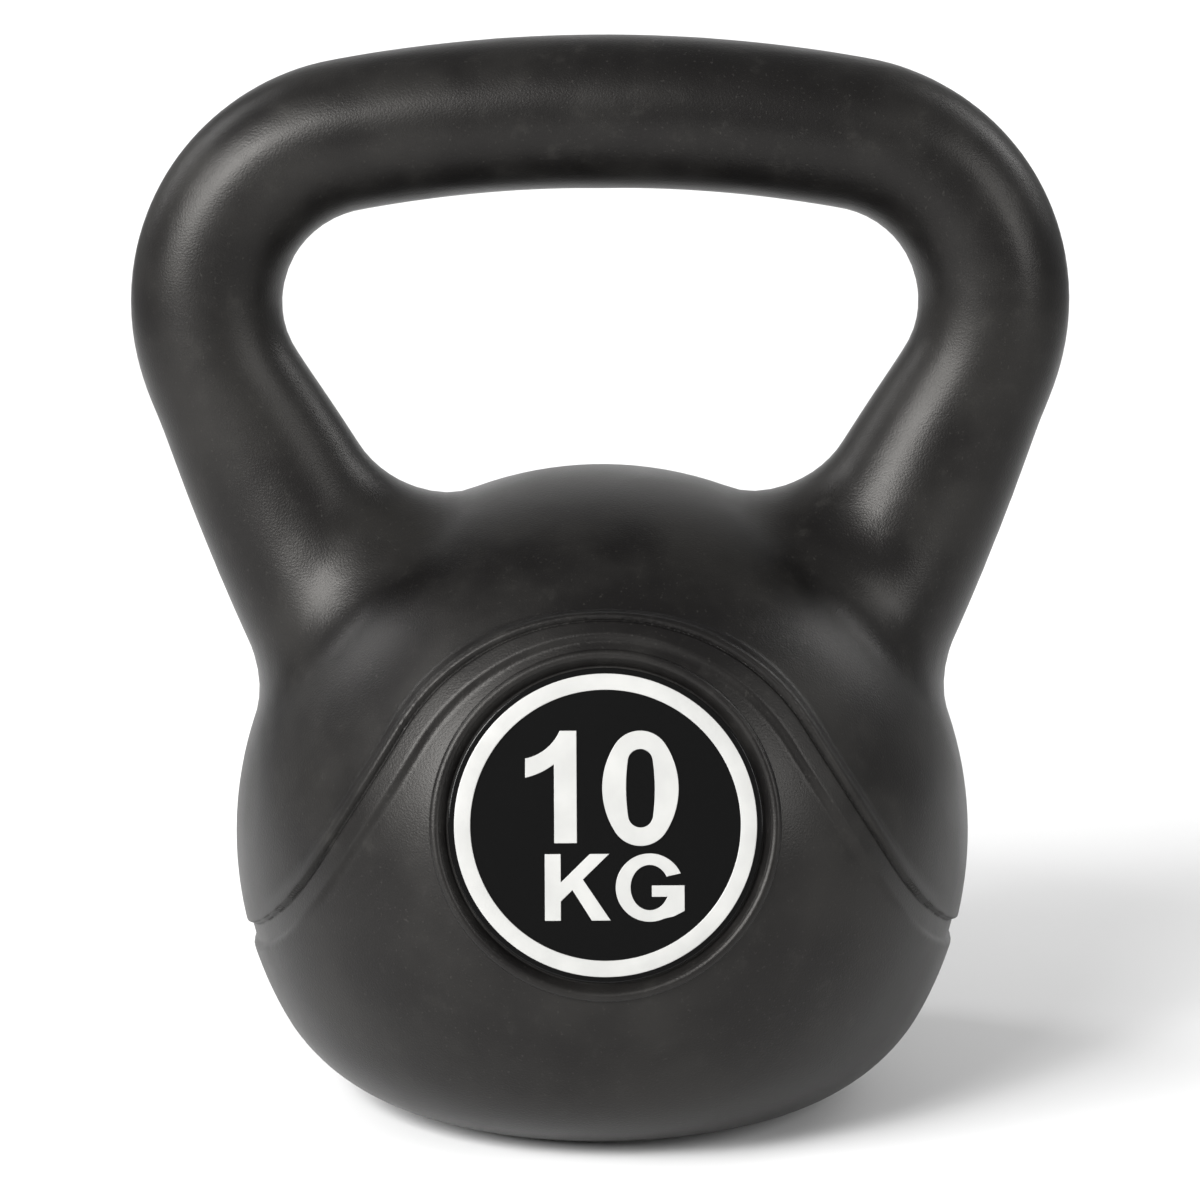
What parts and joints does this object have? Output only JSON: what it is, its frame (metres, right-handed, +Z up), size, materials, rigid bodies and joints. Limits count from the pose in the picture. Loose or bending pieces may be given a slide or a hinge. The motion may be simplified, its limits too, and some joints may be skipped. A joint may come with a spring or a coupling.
{
  "type": "kettlebell",
  "caption": "Plastic-shelled kettlebell: round body with a flat foot, wide loop handle, arched rib and a round recessed weight badge on front and rear, filled with cement mix.",
  "frame": {"origin": "middle of the flat foot, on the floor", "axes": "+Z up through the ball and the grip, the front badge faces -Y, +X along the grip to the right seen from the front"},
  "size_m": [0.2388, 0.1888, 0.2735],
  "materials": {
    "shell": "blow-moulded black polyethylene, fine satin grain",
    "fill": "set cement and iron-sand mix, rough",
    "plug": "injection-moulded black polyethylene, smooth satin",
    "badge_plate": "gloss black plastic plate",
    "badge_white": "white semi-gloss raised marks with soft edges",
    "adhesive": "cured clear adhesive film"
  },
  "bodies": {
    "root": {"shell": "shell", "fill_core": "fill", "filler_plug": "plug", "front_glue": "adhesive", "front_plate": "badge_plate", "front_ring": "badge_white", "front_digit_one": "badge_white", "front_digit_zero": "badge_white", "front_letter_k": "badge_white", "front_letter_g": "badge_white", "rear_glue": "adhesive", "rear_plate": "badge_plate", "rear_ring": "badge_white", "rear_digit_one": "badge_white", "rear_digit_zero": "badge_white", "rear_letter_k": "badge_white", "rear_letter_g": "badge_white"}
  },
  "joints": []
}
